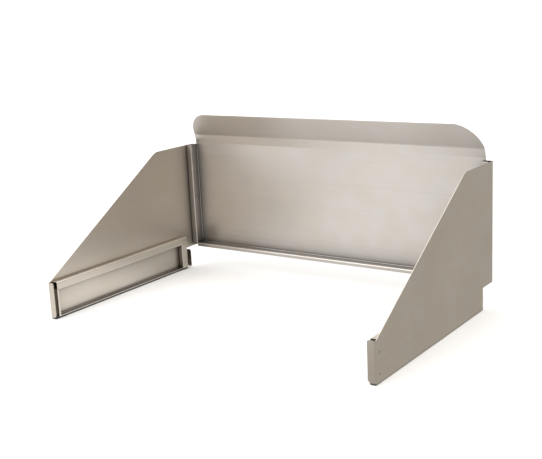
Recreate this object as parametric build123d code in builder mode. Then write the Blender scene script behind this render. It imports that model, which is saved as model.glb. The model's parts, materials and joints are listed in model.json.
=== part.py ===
from build123d import *
from math import cos, radians, sin, tan
import os

# A free-standing, three-sided wind and splash guard for a cooktop, folded from stainless sheet.
# +X is to the right, +Y to the back, +Z up. The origin is under the middle of the guard, at the
# height of the surface that it stands on. All sizes are in millimetres.

# ---- driving dimensions ----
overall_width = 762.0        # between the outer faces of the two side panels
overall_depth = 490.0        # front flanges to the back of the back panel
overall_height = 369.0       # underside of the foot strips to the top edge of the back panel
side_height = 293.0          # top edge of the side panels
rail_height = 78.0           # top of the rails and of the front flanges
top_run = 134.0              # level stretch of a side panel's top edge, from the back
front_run = 5.0              # level stretch at the front, before the edge slopes up
sheet = 1.2                  # thickness of every folded sheet
fold_radius = 1.8            # centre-line radius of the folds
flange_depth = 15.0          # how far flanges and rails stand in from a side's outer face

# ---- side panels ----
side_bottom = 0.8            # raw lower edge, just clear of the surface
rear_step = 48.0             # the lower part stops this far short of the back
step_height = 46.5           # underside of the taller rear part
top_corner_radius = 36.0
front_flange_foot = 3.4      # lower end of the front flange
rear_flange_foot = 2.4       # lower end of the lower rear flange, below the step
rear_flange_top = 44.0       # its upper end
front_foot_radius = 7.0
flange_corner_radius = 4.0
rear_leg = 19.0              # forward leg of the rear channel, beside the back panel

# ---- back panel ----
panel_bottom = 47.0
panel_edge_depth = 22.0      # forward flanges on both sides and along the bottom
side_return_top = 294.5      # upper end of the side flanges and of their outward returns
side_return_gap = 0.3        # between a return's edge and the side panel
bottom_return = 8.0
return_relief = 1.5          # the bottom return stops this far short of each side flange
first_bend_height = 298.0
first_bend_angle = 13.0      # the top leans forward in two steps, both from the vertical
second_bend_angle = 32.0
first_facet = 19.5
lean_radius = 12.0
band_corner_radius = 60.0

# ---- rails, one inside each side panel ----
rail_front_gap = 9.5         # open slot behind the front flange
rail_rear_gap = 12.0
rail_box_height = 17.0       # closed box along the top, above the recess
rail_floor_width = 11.0
post_width = 18.0            # upright at the rear end of the recess
front_return = 3.0           # narrow folded edge of the wall at its front end

# ---- foot strips ----
strip_height = 4.0
strip_width = 11.0
strip_front_gap = 1.5
strip_edge_radius = 0.8

# ---- rivets ----
rivet_diameter = 3.2
rivet_head_diameter = 5.0
rivet_head_height = 0.6
blind_tail_length = 3.0
flat_tail_length = 0.8
corner_rivet_count = 5
corner_rivet_pitch = 46.0
corner_rivet_top = 278.0
corner_rivet_setback = 11.0  # from the face of the back panel
rail_rivet_heights = (17.0, 55.0)
rail_rivet_setback = 15.0    # from the front of the guard

overcut = 1.0                # how far a cutting shape runs past the sheet that it cuts

# ---- derived places ----
half_sheet = sheet / 2
outer_x = overall_width / 2
side_inner_x = outer_x - sheet
flange_x = outer_x - flange_depth     # edge of the flanges, face of the rails, side of the back panel
web_x = side_inner_x - sheet          # inward face of a rail's web
front_y = -overall_depth / 2
back_y = overall_depth / 2
face_y = back_y - sheet               # front face of the back panel
edge_y = face_y - panel_edge_depth    # front of the back panel's returns
step_y = back_y - rear_step
rail_front_y = front_y + sheet + rail_front_gap
rail_rear_y = step_y - sheet - rail_rear_gap
post_front_y = rail_rear_y - post_width
box_bottom = rail_height - rail_box_height
fold_reach = fold_radius + half_sheet  # from an outer face to where the neighbouring sheet is flat
corner_rivet_y = face_y - corner_rivet_setback
corner_rivet_heights = [corner_rivet_top - corner_rivet_pitch * i for i in range(corner_rivet_count)]
rail_rivet_y = front_y + rail_rivet_setback


def level_plane(height):
    """Horizontal plane: sketches use (x, y), and a fold grows upwards."""
    return Plane.XY.offset(height)


def side_plane(x):
    """Upright plane facing +X: sketches use (y, z), and a fold grows to the right."""
    return Plane.YZ.offset(x)


def front_plane(y):
    """Upright plane facing -Y: sketches use (x, z), and a fold grows to the front."""
    return Plane.XZ.offset(-y)


def fold(plane, points, length, radius=fold_radius):
    """Add a folded sheet: the centre line of its section is drawn on plane, with rounded folds."""
    with BuildSketch(plane) as section:
        with BuildLine():
            FilletPolyline(*points, radius=radius)
        trace(line_width=sheet)
    extrude(section.sketch, amount=length, dir=tuple(plane.z_dir))


def cut_block(low, high):
    """Cut away the box between two corners."""
    size = [b - a for a, b in zip(low, high)]
    middle = [(a + b) / 2 for a, b in zip(low, high)]
    with Locations(tuple(middle)):
        Box(*size, mode=Mode.SUBTRACT)


def drill(x_from, x_to, spots):
    """Cut rivet holes along X at the (y, z) spots."""
    with BuildSketch(side_plane(x_from)) as holes:
        with Locations(*spots):
            Circle(rivet_diameter / 2)
    extrude(holes.sketch, amount=x_to - x_from, dir=(1, 0, 0), mode=Mode.SUBTRACT)


def rivet(x, y, z, facing, tail_length):
    """Add a set rivet through two sheets: its domed head stands on x and faces +X or -X."""
    head = rivet_head_diameter / 2
    shank = rivet_diameter / 2
    grip = 2 * sheet
    dome_radius = (head ** 2 + rivet_head_height ** 2) / (2 * rivet_head_height)
    with BuildSketch(Plane(origin=(x, y, z), x_dir=(facing, 0, 0), z_dir=(0, -1, 0))) as profile:
        with BuildLine():
            top_of_head = (rivet_head_height, 0)
            rim = (0, head)
            dome = RadiusArc(top_of_head, rim, dome_radius)
            Polyline(
                dome @ 1,
                (0, shank),
                (-grip, shank),
                (-grip, head),
                (-grip - tail_length, shank),
                (-grip - tail_length, 0),
                dome @ 0,
            )
        make_face()
    revolve(profile.sketch, axis=Axis((x, y, z), (1, 0, 0)))


def mirrored(right_hand):
    """The left-hand twin of a right-hand piece."""
    with BuildPart() as left_hand:
        mirror(right_hand.part, about=Plane.YZ)
    return left_hand


# ---- back panel: a tray with forward flanges, outward returns and a leaning, round-cornered top ----
with BuildPart() as back_panel:
    right_edge = [
        (flange_x - half_sheet, face_y + half_sheet),
        (flange_x - half_sheet, edge_y + half_sheet),
        (side_inner_x - side_return_gap, edge_y + half_sheet),
    ]
    left_edge = [(-x, y) for x, y in reversed(right_edge)]
    tray_bottom = panel_bottom + bottom_return
    fold(level_plane(tray_bottom), left_edge + right_edge, side_return_top - tray_bottom)

    bottom_edge = [
        (face_y + half_sheet, first_bend_height),
        (face_y + half_sheet, tray_bottom - half_sheet),
        (edge_y + half_sheet, tray_bottom - half_sheet),
        (edge_y + half_sheet, panel_bottom),
    ]
    fold(side_plane(-flange_x + half_sheet), bottom_edge, 2 * flange_x - sheet)
    for x in (-flange_x, flange_x - return_relief):
        cut_block((x, edge_y - overcut, panel_bottom), (x + return_relief, face_y, tray_bottom - fold_reach))

    first_lean = first_facet * sin(radians(first_bend_angle))
    first_top = first_bend_height + first_facet * cos(radians(first_bend_angle))
    last_top = overall_height - half_sheet * sin(radians(second_bend_angle))
    second_lean = (last_top - first_top) * tan(radians(second_bend_angle))
    leaning_top = [
        (face_y + half_sheet, side_return_top - sheet),
        (face_y + half_sheet, first_bend_height),
        (face_y + half_sheet - first_lean, first_top),
        (face_y + half_sheet - first_lean - second_lean, last_top),
    ]
    fold(side_plane(-flange_x), leaning_top, 2 * flange_x, lean_radius)
    with BuildSketch(front_plane(back_y)) as corners:
        with Locations((0, overall_height)):
            Rectangle(2 * flange_x, 2 * band_corner_radius)
        with Locations((0, overall_height - 2 * band_corner_radius)):
            RectangleRounded(
                2 * flange_x, 4 * band_corner_radius, band_corner_radius, mode=Mode.SUBTRACT
            )
    extrude(corners.sketch, amount=overall_depth, dir=(0, -1, 0), mode=Mode.SUBTRACT)

    flange_spots = [(corner_rivet_y, z) for z in corner_rivet_heights]
    drill(-flange_x - overcut, flange_x + overcut, flange_spots)

# ---- side panel ----
with BuildPart() as right_side_panel:
    with BuildSketch(side_plane(side_inner_x)) as plate:
        with BuildLine():
            Polyline(
                (front_y + fold_reach, side_bottom),
                (step_y - fold_reach, side_bottom),
                (step_y - fold_reach, step_height),
                (back_y - fold_reach, step_height),
                (back_y - fold_reach, side_height),
                (back_y - top_run, side_height),
                (front_y + front_run, rail_height),
                (front_y + fold_reach, rail_height),
                (front_y + fold_reach, side_bottom),
            )
        make_face()
        top_corner = plate.vertices().sort_by_distance((back_y - top_run, side_height))[0]  # as drawn: (y, z)
        fillet(top_corner, top_corner_radius)
    extrude(amount=sheet)

    front_flange = [
        (outer_x - half_sheet, front_y + 2 * fold_reach),
        (outer_x - half_sheet, front_y + half_sheet),
        (flange_x, front_y + half_sheet),
    ]
    fold(level_plane(side_bottom), front_flange, rail_height - side_bottom)

    lower_rear_flange = [
        (outer_x - half_sheet, step_y - 2 * fold_reach),
        (outer_x - half_sheet, step_y - half_sheet),
        (flange_x, step_y - half_sheet),
    ]
    fold(level_plane(side_bottom), lower_rear_flange, rear_flange_top - side_bottom)

    for y_from, y_to, foot in (
        (front_y - overcut, front_y + fold_reach, front_flange_foot),
        (step_y - fold_reach, step_y + overcut, rear_flange_foot),
    ):
        cut_block((flange_x - overcut, y_from, 0), (outer_x + overcut, y_to, foot))
    flange_corners = right_side_panel.edges().filter_by(Axis.Y).group_by(Axis.X)[0]
    fillet(flange_corners.sort_by_distance((flange_x, front_y, front_flange_foot))[0], front_foot_radius)
    flange_corners = right_side_panel.edges().filter_by(Axis.Y).group_by(Axis.X)[0]
    fillet(flange_corners, flange_corner_radius)

    rear_channel = [
        (outer_x - half_sheet, back_y - 2 * fold_reach),
        (outer_x - half_sheet, back_y - half_sheet),
        (flange_x + half_sheet, back_y - half_sheet),
        (flange_x + half_sheet, back_y - rear_leg),
    ]
    fold(level_plane(step_height), rear_channel, side_height - step_height)

    drill(flange_x - overcut, flange_x + sheet + overcut, flange_spots)
    plate_spots = [(rail_rivet_y, z) for z in rail_rivet_heights]
    drill(side_inner_x - overcut, outer_x + overcut, plate_spots)

# ---- rail: a box along the top, an open recess below it, a wall at the front and a rear upright ----
with BuildPart() as right_rail:
    rail_section = [
        (side_inner_x - rail_floor_width, strip_height + half_sheet),
        (side_inner_x - half_sheet, strip_height + half_sheet),
        (side_inner_x - half_sheet, box_bottom + half_sheet),
        (flange_x + half_sheet, box_bottom + half_sheet),
        (flange_x + half_sheet, rail_height - half_sheet),
        (side_inner_x, rail_height - half_sheet),
    ]
    fold(front_plane(rail_rear_y), rail_section, rail_rear_y - rail_front_y)

    front_section = [
        (web_x, rail_front_y + half_sheet),
        (flange_x + half_sheet, rail_front_y + half_sheet),
        (flange_x + half_sheet, rail_front_y + front_return),
    ]
    post_section = [
        (web_x, post_front_y + half_sheet),
        (flange_x + half_sheet, post_front_y + half_sheet),
        (flange_x + half_sheet, rail_rear_y - half_sheet),
        (web_x, rail_rear_y - half_sheet),
    ]
    floor_height = strip_height + half_sheet
    for section in (front_section, post_section):
        fold(level_plane(floor_height), section, box_bottom + half_sheet - floor_height)
    drill(web_x - overcut, side_inner_x + overcut, plate_spots)

# ---- foot strip: rubber, under the rail's floor ----
with BuildPart() as right_foot_strip:
    strip_length = rail_rear_y - front_y - sheet - strip_front_gap
    with BuildSketch(front_plane(rail_rear_y)) as strip_section:
        with Locations((side_inner_x - strip_width / 2, strip_height / 2)):
            RectangleRounded(strip_width, strip_height, strip_edge_radius)
    extrude(amount=strip_length)

# ---- rivets: five at each rear corner, two at the front of each rail ----
with BuildPart() as right_corner_rivets:
    for z in corner_rivet_heights:
        rivet(flange_x - sheet, corner_rivet_y, z, -1, blind_tail_length)

with BuildPart() as right_rail_rivets:
    for z in rail_rivet_heights:
        rivet(outer_x, rail_rivet_y, z, 1, flat_tail_length)

pieces = {"back_panel": back_panel}
right_hand_pieces = {
    "side_panel": right_side_panel,
    "rail": right_rail,
    "foot_strip": right_foot_strip,
    "corner_rivets": right_corner_rivets,
    "rail_rivets": right_rail_rivets,
}
for name, piece in right_hand_pieces.items():
    pieces["right_" + name] = piece
    pieces["left_" + name] = mirrored(piece)

os.makedirs("parts", exist_ok=True)
for name, piece in pieces.items():
    piece.part.label = name
    export_step(piece.part, f"parts/{name}.step")
    print(name, "solids:", len(piece.part.solids()), "valid:", piece.part.is_valid)
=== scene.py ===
import json
from math import cos, radians, sin

import bmesh
import bpy
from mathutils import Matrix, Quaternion, Vector


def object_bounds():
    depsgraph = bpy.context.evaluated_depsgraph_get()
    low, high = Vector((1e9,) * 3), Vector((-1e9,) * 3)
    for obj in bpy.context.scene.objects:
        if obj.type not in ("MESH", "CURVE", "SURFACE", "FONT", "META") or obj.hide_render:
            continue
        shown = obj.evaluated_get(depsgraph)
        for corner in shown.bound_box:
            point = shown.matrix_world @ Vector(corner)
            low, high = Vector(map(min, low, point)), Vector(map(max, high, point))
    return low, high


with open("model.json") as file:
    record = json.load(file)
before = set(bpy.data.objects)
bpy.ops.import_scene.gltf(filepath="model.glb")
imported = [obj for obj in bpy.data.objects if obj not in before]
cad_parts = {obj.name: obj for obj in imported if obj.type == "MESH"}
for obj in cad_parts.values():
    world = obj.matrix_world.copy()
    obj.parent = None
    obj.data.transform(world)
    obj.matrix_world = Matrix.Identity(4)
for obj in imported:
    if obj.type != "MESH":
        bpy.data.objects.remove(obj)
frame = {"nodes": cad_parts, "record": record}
cad_low, cad_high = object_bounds()
middle = (cad_low + cad_high) / 2

# ---- camera: angles in degrees, azimuth 0 looks along +Y and 90 along -X ----
camera_azimuth = 35.35
camera_elevation = 13.39
camera_roll = -2.84
camera_distance = 1.967
camera_aim = middle + Vector((0.010, 0.004, -0.012))
camera_lens = 65.1                   # millimetres, as is the sensor's width
sensor_width = 36.0

# ---- studio: lengths in metres ----
floor_radius = 60.0
disc_segments = 64                   # of the floor's outline and the card's
floor_colour = (0.93, 0.925, 0.915)
floor_roughness = 0.9
backdrop_colour = (1.0, 1.0, 1.0)
overhead = (1.62, 1.61, 1.60)        # light from straight above
front_left = (0.42, 0.40, 0.37)      # the room at eye level, in front and to the left
back_right = (0.09, 0.08, 0.065)     # and behind, to the right
dark_direction = (0.58, 0.81, 0.0)   # towards the darkest part of the room
room_fade = (-0.3, 0.9)              # cosines to that direction, where the room starts and ends darkening
overhead_fade = (0.25, 0.65)         # sines of the elevation, where the light above starts and is full
# the card's glow is a painted reflection, seen only in the steel
card_radius = 6.0
card_bright = (1.06, 1.04, 1.015)
card_dim = (0.52, 0.50, 0.47)
card_gap = 0.0002                    # above the floor
card_dim_back = 0.7 * cad_high.y     # the card is dim from here on backwards
card_dim_right = 0.8 * cad_high.x    # and from here on to the right

# ---- steel surface: scales are features per metre, lengths are metres ----
grain_across = 900.0                 # fine brushed lines
grain_along = 4.0
band_across = 140.0                  # broader bands in the brushing
band_along = 1.5
streak = 0.03                        # how much lighter and darker the lines are
cloud_scale = 5.0                    # large soft patches
cloud_tones = (0.96, 1.03)
smudge_scale = 22.0                  # handling marks, a little warmer and mostly duller
smudge_tint = (1.01, 0.985, 0.94)
smudge_tint_range = (0.35, 0.7)
smudge_rough_range = (0.35, 0.75)
smudge_roughness = (-0.02, 0.06)
roughness_spread = 0.05              # of the fine lines
edge_radius = 0.003
edge_turn = (0.98, 0.75)             # cosines of the turn at an edge, where the painted highlight and the polish start and are full
edge_highlight_cover = 0.7                     # how much of the painted edge highlight shows
edge_polish = 0.1                    # how much smoother it is
edge_highlight_open = (0.6, 0.85)              # openness to the room, where the painted edge highlight starts and is full
fold_reach = 0.007                   # painted shade: the dark line right inside a fold
fold_open = (0.45, 0.85)
fold_shade_tone = 0.5
corner_reach = 0.06                  # painted shade: the soft darkening of an inner corner
corner_open = (0.45, 0.95)
corner_shade_tone = 0.35
wave_strength = 0.35                 # slight unevenness of the sheet
wave_depth = 0.004
scratch_strength = 0.12
scratch_depth = 0.0001


# ---- node helpers: owner is the material or the world that gets the nodes ----
full_range = (0.0, 1.0)
noise_range = (0.3, 0.7)             # nearly all of a noise texture's values are in here


def node(owner, kind, inputs=None, **settings):
    """Add a node. Settings are its properties, inputs its sockets' values or the sockets that feed them."""
    tree = owner.node_tree
    made = tree.nodes.new(kind)
    for key, value in settings.items():
        setattr(made, key, value)
    for key, value in (inputs or {}).items():
        if isinstance(value, bpy.types.NodeSocket):
            tree.links.new(value, made.inputs[key])
        else:
            made.inputs[key].default_value = value
    return made


def empty_material(name):
    """A material without any nodes."""
    material = bpy.data.materials.new(name)
    material.use_nodes = True
    material.node_tree.nodes.clear()
    return material


def new_material(name):
    """A material and its principled shader, which is wired to the output."""
    material = empty_material(name)
    shader = node(material, "ShaderNodeBsdfPrincipled")
    node(material, "ShaderNodeOutputMaterial", {"Surface": shader.outputs["BSDF"]})
    return material, shader


def feed(material, shader, base, rough, normal):
    """Link the shader's colour, roughness and normal to the sockets that give them."""
    links = material.node_tree.links
    links.new(base, shader.inputs["Base Color"])
    links.new(rough, shader.inputs["Roughness"])
    links.new(normal, shader.inputs["Normal"])


def noise(owner, scale, stretch=(1.0, 1.0, 1.0), detail=4.0, roughness=0.55):
    """Noise in object space, finer along an axis where stretch is larger. Scale is features per metre."""
    place = node(owner, "ShaderNodeTexCoord").outputs["Object"]
    mapped = node(owner, "ShaderNodeMapping", {"Vector": place, "Scale": stretch}).outputs["Vector"]
    inputs = {"Vector": mapped, "Scale": scale, "Detail": detail, "Roughness": roughness}
    return node(owner, "ShaderNodeTexNoise", inputs).outputs["Fac"]


def remap(owner, value, source, target):
    """A value moved from the source range to the target range, and clamped to it."""
    ends = {"From Min": source[0], "From Max": source[1], "To Min": target[0], "To Max": target[1]}
    return node(owner, "ShaderNodeMapRange", {"Value": value, **ends}).outputs["Result"]


def math_node(owner, operation, a, b):
    """One sum, product or other two-value operation."""
    return node(owner, "ShaderNodeMath", {0: a, 1: b}, operation=operation).outputs["Value"]


def multiply(owner, a, b):
    """The product of two values."""
    return math_node(owner, "MULTIPLY", a, b)


def mix_colour(owner, factor, a, b, blend="MIX"):
    """Two colours mixed by factor, from a at 0 to b at 1, or b blended over a in another way."""
    a, b = (c if isinstance(c, bpy.types.NodeSocket) else (*c, 1.0) for c in (a, b))
    first_colour, second_colour, mixed_colour = 6, 7, 2  # sockets by number, as others have the same names
    inputs = {"Factor": factor, first_colour: a, second_colour: b}
    made = node(owner, "ShaderNodeMix", inputs, data_type="RGBA", blend_type=blend)
    return made.outputs[mixed_colour]


def darken(owner, colour, tone):
    """A colour multiplied by a tone, the same in all three channels."""
    grey = node(owner, "ShaderNodeCombineColor", {"Red": tone, "Green": tone, "Blue": tone})
    return mix_colour(owner, 1.0, colour, grey.outputs["Color"], "MULTIPLY")


def bump(owner, height, strength, depth, under=None):
    """A bumpy normal, laid over the normal from under if there is one."""
    inputs = {"Height": height, "Strength": strength, "Distance": depth}
    if under is not None:
        inputs["Normal"] = under
    return node(owner, "ShaderNodeBump", inputs).outputs["Normal"]


def edge_mask(owner, radius):
    """1 on sharp edges and bends tighter than radius, 0 on flat faces."""
    rounded = node(owner, "ShaderNodeBevel", {"Radius": radius}, samples=4).outputs["Normal"]
    normal = node(owner, "ShaderNodeNewGeometry").outputs["Normal"]
    same = node(owner, "ShaderNodeVectorMath", {0: rounded, 1: normal}, operation="DOT_PRODUCT")
    return remap(owner, same.outputs["Value"], edge_turn, full_range)


def openness(owner, reach, own_only=False):
    """1 in the open, falling towards 0 in inner corners. With own_only, other pieces make no corners."""
    made = node(owner, "ShaderNodeAmbientOcclusion", {"Distance": reach}, samples=8, only_local=own_only)
    return made.outputs["AO"]


# ---- materials ----
def brushed_steel(name, colour, across, roughness=0.36, own_creases=True, edge_highlight=1.3):
    """Satin stainless sheet, brushed along the axis where across is 0.

    Inner corners and folds get painted shade; with own_creases, only corners within the piece paint it.
    Edges and bends get a painted highlight: their colour is the faces' colour times the edge factor, and a
    factor below 1 paints shade there.
    """
    material, shader = new_material(name)
    line_stretch = [grain_across * a + grain_along for a in across]
    band_stretch = [band_across * a + band_along for a in across]
    fine = noise(material, scale=1.0, stretch=line_stretch, detail=3.0)
    broad = noise(material, scale=1.0, stretch=band_stretch, detail=5.0)
    cloud = noise(material, cloud_scale, detail=2.0)
    smudge = noise(material, smudge_scale, detail=6.0, roughness=0.6)
    fold = openness(material, fold_reach)
    corner = openness(material, corner_reach, own_creases)
    edges = edge_mask(material, edge_radius)
    edges = multiply(material, edges, remap(material, fold, edge_highlight_open, full_range))

    bands = remap(material, broad, noise_range, (1.0 - streak / 2, 1.0 + streak / 2))
    shade = remap(material, fine, noise_range, (1.0 - streak, 1.0 + streak))
    shade = multiply(material, shade, bands)
    shade = multiply(material, shade, remap(material, cloud, noise_range, cloud_tones))
    warm = [c * tint for c, tint in zip(colour, smudge_tint)]
    base = mix_colour(material, remap(material, smudge, smudge_tint_range, full_range), colour, warm)
    base = darken(material, base, shade)
    # painted highlight: edges and bends are lightened in the colour; a factor below 1 paints shade there
    # instead
    edge_highlight_colour = [min(1.0, c * edge_highlight) for c in colour]
    base = mix_colour(material, multiply(material, edges, edge_highlight_cover), base, edge_highlight_colour)
    # painted shade: inner corners and the insides of folds are darkened in the colour
    crease_shade = remap(material, corner, corner_open, (corner_shade_tone, 1.0))
    crease_shade = multiply(material, crease_shade, remap(material, fold, fold_open, (fold_shade_tone, 1.0)))
    base = darken(material, base, crease_shade)

    line_roughness = (roughness - roughness_spread, roughness + roughness_spread)
    rough = remap(material, fine, noise_range, line_roughness)
    smudged = remap(material, smudge, smudge_rough_range, smudge_roughness)
    rough = math_node(material, "ADD", rough, smudged)
    rough = math_node(material, "SUBTRACT", rough, multiply(material, edges, edge_polish))

    waves = bump(material, cloud, wave_strength, wave_depth)
    feed(material, shader, base, rough, bump(material, fine, scratch_strength, scratch_depth, waves))
    shader.inputs["Metallic"].default_value = 1.0
    return material


def dark_rubber(name):
    """Matte black rubber with a fine grain and a dusty bloom."""
    clean_colour = (0.035, 0.033, 0.031)
    dusty_colour = (0.10, 0.096, 0.09)
    dust_range = (0.4, 0.75)
    roughness_range = (0.62, 0.85)
    material, shader = new_material(name)
    grain = noise(material, scale=900.0)
    dust = noise(material, scale=60.0, detail=5.0, roughness=0.65)
    base = mix_colour(material, remap(material, dust, dust_range, full_range), clean_colour, dusty_colour)
    rough = remap(material, dust, noise_range, roughness_range)
    feed(material, shader, base, rough, bump(material, grain, strength=0.4, depth=0.0003))
    return material


# One steel in three tones: the differences are painted light and shade. The panel's tone is the lightest,
# and the side panels' darker, warmer tone is painted shade.
panel_colour = (0.71, 0.678, 0.653)
side_shaded_colour = (0.645, 0.597, 0.532)
rail_colour = (0.70, 0.655, 0.595)
rivet_colour = (0.40, 0.365, 0.32)
along_x = (0.0, 1.0, 1.0)            # how fine the lines are on each axis: 0 along them
along_y = (1.0, 0.0, 1.0)
unbrushed = (1.0, 1.0, 1.0)
finishes = {
    "panel_steel": brushed_steel("panel_steel_brushed", panel_colour, along_x, own_creases=False),
    # the side panels' edges get painted shade, not a painted highlight
    "side_steel": brushed_steel("side_steel_brushed", side_shaded_colour, along_y, edge_highlight=0.6),
    "rail_steel": brushed_steel("rail_steel_brushed", rail_colour, along_y),
    "rivet_steel": brushed_steel("rivet_steel_plain", rivet_colour, unbrushed, roughness=0.3),
    "strip_rubber": dark_rubber("strip_rubber_matte"),
}
for subpart in frame["record"]["subparts"]:
    mesh = frame["nodes"][subpart["node"]].data
    mesh.materials.clear()
    mesh.materials.append(finishes[subpart["material_slot"]])


# ---- floor ----
def disc(name, radius, height, material):
    """A flat round sheet under the middle of the guard."""
    mesh = bpy.data.meshes.new(name)
    shape = bmesh.new()
    bmesh.ops.create_circle(shape, cap_ends=True, radius=radius, segments=disc_segments)
    shape.to_mesh(mesh)
    shape.free()
    mesh.materials.append(material)
    made = bpy.data.objects.new(name, mesh)
    made.location = (middle.x, middle.y, height)
    bpy.context.scene.collection.objects.link(made)
    return made


def pale_floor():
    """A round pale floor, level with the lowest point of the guard."""
    material, shader = new_material("floor_pale")
    shader.inputs["Base Color"].default_value = (*floor_colour, 1.0)
    shader.inputs["Roughness"].default_value = floor_roughness
    floor = disc("floor", floor_radius, cad_low.z, material)


def reflection_card():
    """A glowing card just above the floor, which only reflections see: it paints the reflections in the
    steel.

    It is bright at the front left, and dims to the back and to the right, so the painted reflection in the
    steel dims there too.
    """
    material = empty_material("floor_card_glow")
    material.cycles.emission_sampling = "NONE"
    place = node(material, "ShaderNodeTexCoord").outputs["Object"]
    place = node(material, "ShaderNodeSeparateXYZ", {"Vector": place})
    front = remap(material, place.outputs["Y"], (0.0, card_dim_back), (1.0, 0.0))
    left = remap(material, place.outputs["X"], (0.0, card_dim_right), (1.0, 0.0))
    colour = mix_colour(material, math_node(material, "MINIMUM", front, left), card_dim, card_bright)
    glow = node(material, "ShaderNodeEmission", {"Color": colour, "Strength": 1.0})
    node(material, "ShaderNodeOutputMaterial", {"Surface": glow.outputs["Emission"]})
    card = disc("reflection_card", card_radius, cad_low.z + card_gap, material)
    card.visible_camera = False
    card.visible_diffuse = False
    card.visible_shadow = False


pale_floor()
reflection_card()


# ---- light and camera ----
def away_from_guard(azimuth, elevation):
    """The unit vector from the guard's middle towards an azimuth and elevation in degrees."""
    a = radians(azimuth)
    e = radians(elevation)
    return Vector((sin(a) * cos(e), -cos(a) * cos(e), sin(e)))


def place_facing(name, data, target, away, distance, roll=0.0):
    """Put a lamp or camera at a distance from target, looking back at it. Roll is in degrees."""
    made = bpy.data.objects.new(name, data)
    made.location = target + away * distance
    made.rotation_mode = "QUATERNION"
    made.rotation_quaternion = (-away).to_track_quat("-Z", "Y") @ Quaternion((0.0, 0.0, 1.0), radians(roll))
    bpy.context.scene.collection.objects.link(made)
    return made


def softbox(name, azimuth, elevation, distance, size, power):
    """A square area light aimed at the guard's middle. Its angles are counted as the camera's are."""
    data = bpy.data.lights.new(name, "AREA")
    data.size = size
    data.energy = power
    place_facing(name, data, middle, away_from_guard(azimuth, elevation), distance)


def studio_world():
    """The camera sees a white backdrop; the steel sees a room that is bright in front and dim behind."""
    world = bpy.data.worlds.new("studio")
    world.use_nodes = True
    world.node_tree.nodes.clear()
    direction = node(world, "ShaderNodeTexCoord").outputs["Generated"]
    inputs = {0: direction, 1: dark_direction}
    towards_dark = node(world, "ShaderNodeVectorMath", inputs, operation="DOT_PRODUCT")
    darkness = remap(world, towards_dark.outputs["Value"], room_fade, full_range)
    room = mix_colour(world, darkness, front_left, back_right)
    height = node(world, "ShaderNodeSeparateXYZ", {"Vector": direction}).outputs["Z"]
    room = mix_colour(world, remap(world, height, overhead_fade, full_range), room, overhead)
    seen = node(world, "ShaderNodeLightPath").outputs["Is Camera Ray"]
    colour = mix_colour(world, seen, room, backdrop_colour)
    background = node(world, "ShaderNodeBackground", {"Color": colour, "Strength": 1.0})
    node(world, "ShaderNodeOutputWorld", {"Surface": background.outputs["Background"]})
    bpy.context.scene.world = world


def photo_camera():
    """The camera at the viewing angle above."""
    data = bpy.data.cameras.new("camera")
    data.lens = camera_lens
    data.sensor_width = sensor_width
    away = away_from_guard(camera_azimuth, camera_elevation)
    bpy.context.scene.camera = place_facing("camera", data, camera_aim, away, camera_distance, camera_roll)


softbox("top_softbox", azimuth=0, elevation=80, distance=3.0, size=3.5, power=22)
softbox("front_left_softbox", azimuth=-40, elevation=30, distance=3.2, size=2.5, power=18)
studio_world()
bpy.context.scene.view_settings.view_transform = "Standard"
photo_camera()
